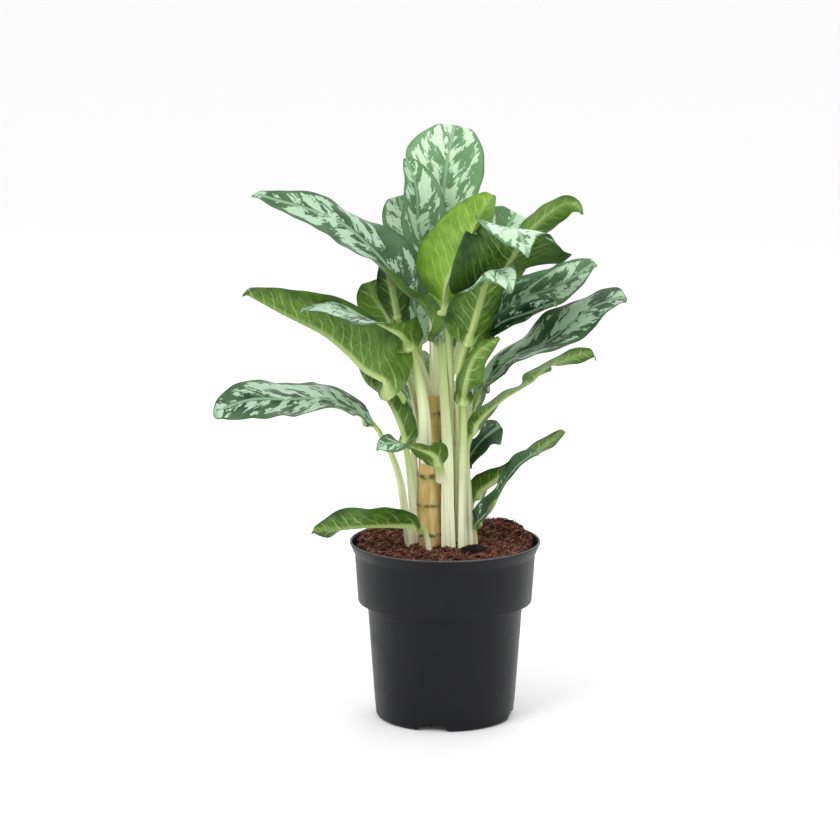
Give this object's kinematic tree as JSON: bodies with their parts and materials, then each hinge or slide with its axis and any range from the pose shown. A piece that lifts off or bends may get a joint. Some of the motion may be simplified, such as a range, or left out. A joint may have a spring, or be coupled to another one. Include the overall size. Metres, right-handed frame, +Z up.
{
  "type": "potted foliage plant",
  "caption": "Chinese evergreen with broad silver-flecked leaves on pale upright stalks, planted in fibrous soil in a round tapered nursery pot with a wide collar.",
  "frame": {"origin": "centre of the pot's base, on the floor", "axes": "+Z up along the pot's axis; -Y towards the viewer of the picture; +X to the viewer's right"},
  "size_m": [0.3541, 0.2808, 0.5281],
  "materials": {
    "leaf": "waxy leaf, satin",
    "leaf_bright": "waxy leaf underside, satin",
    "cane": "smooth green-tan cane with ring scars",
    "soil": "loose brown fibre, matt",
    "bark": "dark bark, matt",
    "pot": "satin dark grey moulded plastic"
  },
  "bodies": {
    "root": {"cane_front": "cane", "cane_right": "cane", "cane_rear": "cane", "leaf_long_left": "leaf", "leaf_bright": "leaf_bright", "leaf_nodding": "leaf_bright", "leaf_rising": "leaf_bright", "leaf_left_low": "leaf", "leaf_veined": "leaf_bright", "leaf_left_folded": "leaf", "leaf_curled": "leaf", "leaf_low_left": "leaf_bright", "leaf_arching": "leaf", "leaf_right_long": "leaf", "leaf_twisted": "leaf", "leaf_low_right": "leaf", "leaf_low_edge": "leaf", "leaf_broad": "leaf_bright", "leaf_right_far": "leaf", "leaf_right_near": "leaf", "leaf_top": "leaf", "leaf_spire": "leaf", "leaf_back_fan": "leaf", "leaf_left_peek": "leaf", "leaf_left_upper": "leaf", "leaf_dark_back": "leaf", "leaf_right_top": "leaf", "leaf_back_right": "leaf", "leaf_rear_high": "leaf", "leaf_rear_left": "leaf", "leaf_rear_right": "leaf", "leaf_rear_low_left": "leaf", "leaf_rear_low_right": "leaf", "bark_lump": "bark", "soil": "soil", "pot": "pot"}
  },
  "joints": []
}
